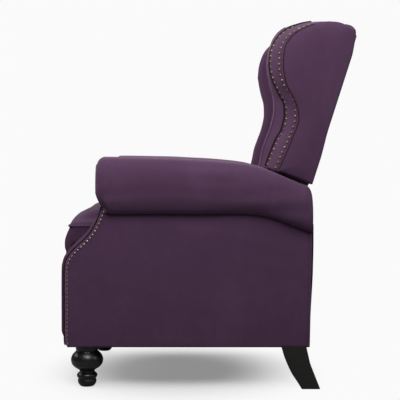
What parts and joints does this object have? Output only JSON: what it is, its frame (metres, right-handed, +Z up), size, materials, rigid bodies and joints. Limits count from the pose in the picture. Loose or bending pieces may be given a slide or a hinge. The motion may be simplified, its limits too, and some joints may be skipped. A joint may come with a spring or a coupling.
{
  "type": "wingback recliner",
  "caption": "Wingback push-back recliner in plum velvet-like fabric with rolled arms, nailhead trim, turned front legs, sabre rear legs and a hidden footrest on steel links.",
  "frame": {"origin": "on the floor under the middle of the chair's box", "axes": "+X the sitter's left, -Y the front, +Z up"},
  "size_m": [0.7, 0.8256, 1.034],
  "materials": {
    "upholstery": "plum short-pile fabric, soft sheen",
    "black_lining": "black woven lining cloth",
    "frame_timber": "bare planed hardwood and plywood",
    "black_wood": "black gloss lacquer",
    "mechanism_steel": "black satin coating on pressed steel"
  },
  "bodies": {
    "base": {"arm_post_front_left": "frame_timber", "arm_post_front_right": "frame_timber", "arm_post_rear_left": "frame_timber", "arm_post_rear_right": "frame_timber", "arm_rail_left": "frame_timber", "arm_rail_right": "frame_timber", "side_board_left": "frame_timber", "side_board_right": "frame_timber", "side_panel_left": "upholstery", "side_panel_right": "upholstery", "front_border_left": "upholstery", "front_border_right": "upholstery", "arm_roll_left": "upholstery", "arm_roll_right": "upholstery", "front_leg_left": "black_wood", "front_leg_right": "black_wood", "rear_leg_left": "black_wood", "rear_leg_right": "black_wood", "base_plate_left": "mechanism_steel", "base_plate_right": "mechanism_steel", "front_cross_rail": "frame_timber", "rear_cross_rail": "frame_timber", "rear_cover": "black_lining"},
    "seat": {"seat_side_rail_left": "frame_timber", "seat_side_rail_right": "frame_timber", "seat_steel_rail_left": "mechanism_steel", "seat_steel_rail_right": "mechanism_steel", "seat_front_rail": "frame_timber", "seat_rear_rail": "frame_timber", "seat_spring_1": "mechanism_steel", "seat_spring_2": "mechanism_steel", "seat_spring_3": "mechanism_steel", "seat_spring_4": "mechanism_steel", "seat_cushion": "upholstery"},
    "back": {"back_post_left": "frame_timber", "back_post_right": "frame_timber", "wing_pad_left": "upholstery", "wing_pad_right": "upholstery", "wing_panel_left": "upholstery", "wing_panel_right": "upholstery", "back_bracket_left": "mechanism_steel", "back_bracket_right": "mechanism_steel", "back_top_rail": "frame_timber", "back_bottom_rail": "frame_timber", "back_cushion": "upholstery", "outside_back": "upholstery"},
    "drag_links": {"drag_link_left": "mechanism_steel", "drag_link_right": "mechanism_steel"},
    "rear_links": {"rear_link_left": "mechanism_steel", "rear_link_right": "mechanism_steel"},
    "reach_links": {"reach_link_left": "mechanism_steel", "reach_link_right": "mechanism_steel"},
    "front_links": {"front_link_left": "mechanism_steel", "front_link_right": "mechanism_steel"},
    "lower_links": {"lower_link_left": "mechanism_steel", "lower_link_right": "mechanism_steel"},
    "footrest": {"foot_bracket_left": "mechanism_steel", "foot_bracket_right": "mechanism_steel", "footrest_board": "frame_timber", "footrest_pad": "upholstery"}
  },
  "joints": [
    {"name": "back_recline", "type": "hinge", "parent": "base", "child": "back", "pos_m": [0, 0.207, 0.412], "axis": [-1, 0, 0], "range_deg": [0, 30]},
    {"name": "seat_slide", "type": "slide", "parent": "base", "child": "seat", "axis": [0, -1, 0], "range_m": [0, 0.0467]},
    {"name": "drag_link_pivot", "type": "hinge", "parent": "back", "child": "drag_links", "pos_m": [0, 0.23029, 0.32507], "axis": [1, 0, 0], "range_deg": [0, 30.1]},
    {"name": "rear_link_pivot", "type": "hinge", "parent": "seat", "child": "rear_links", "pos_m": [0, -0.3, 0.365], "axis": [-1, 0, 0], "range_deg": [0, 106.8]},
    {"name": "knee_pivot", "type": "hinge", "parent": "rear_links", "child": "reach_links", "pos_m": [0, -0.18, 0.225], "axis": [1, 0, 0], "range_deg": [0, 97.4]},
    {"name": "footrest_pivot", "type": "hinge", "parent": "reach_links", "child": "footrest", "pos_m": [0, -0.33, 0.29], "axis": [-1, 0, 0], "range_deg": [0, 74.7]},
    {"name": "front_link_pivot", "type": "hinge", "parent": "seat", "child": "front_links", "pos_m": [0, -0.36153, 0.365], "axis": [-1, 0, 0], "range_deg": [0, 123.4]},
    {"name": "tail_pivot", "type": "hinge", "parent": "front_links", "child": "lower_links", "pos_m": [0, -0.22045, 0.23266], "axis": [1, 0, 0], "range_deg": [0, 102.4]}
  ],
  "couplings": [
    {"joint": "seat_slide", "follows": "back_recline", "m_per_rad": 0.088975},
    {"joint": "drag_link_pivot", "follows": "back_recline", "ratio": 1},
    {"joint": "rear_link_pivot", "follows": "back_recline", "ratio": 3.5568},
    {"joint": "knee_pivot", "follows": "back_recline", "ratio": 3.2414},
    {"joint": "footrest_pivot", "follows": "back_recline", "ratio": 2.4846},
    {"joint": "front_link_pivot", "follows": "back_recline", "ratio": 4.1077},
    {"joint": "tail_pivot", "follows": "back_recline", "ratio": 3.4088}
  ]
}
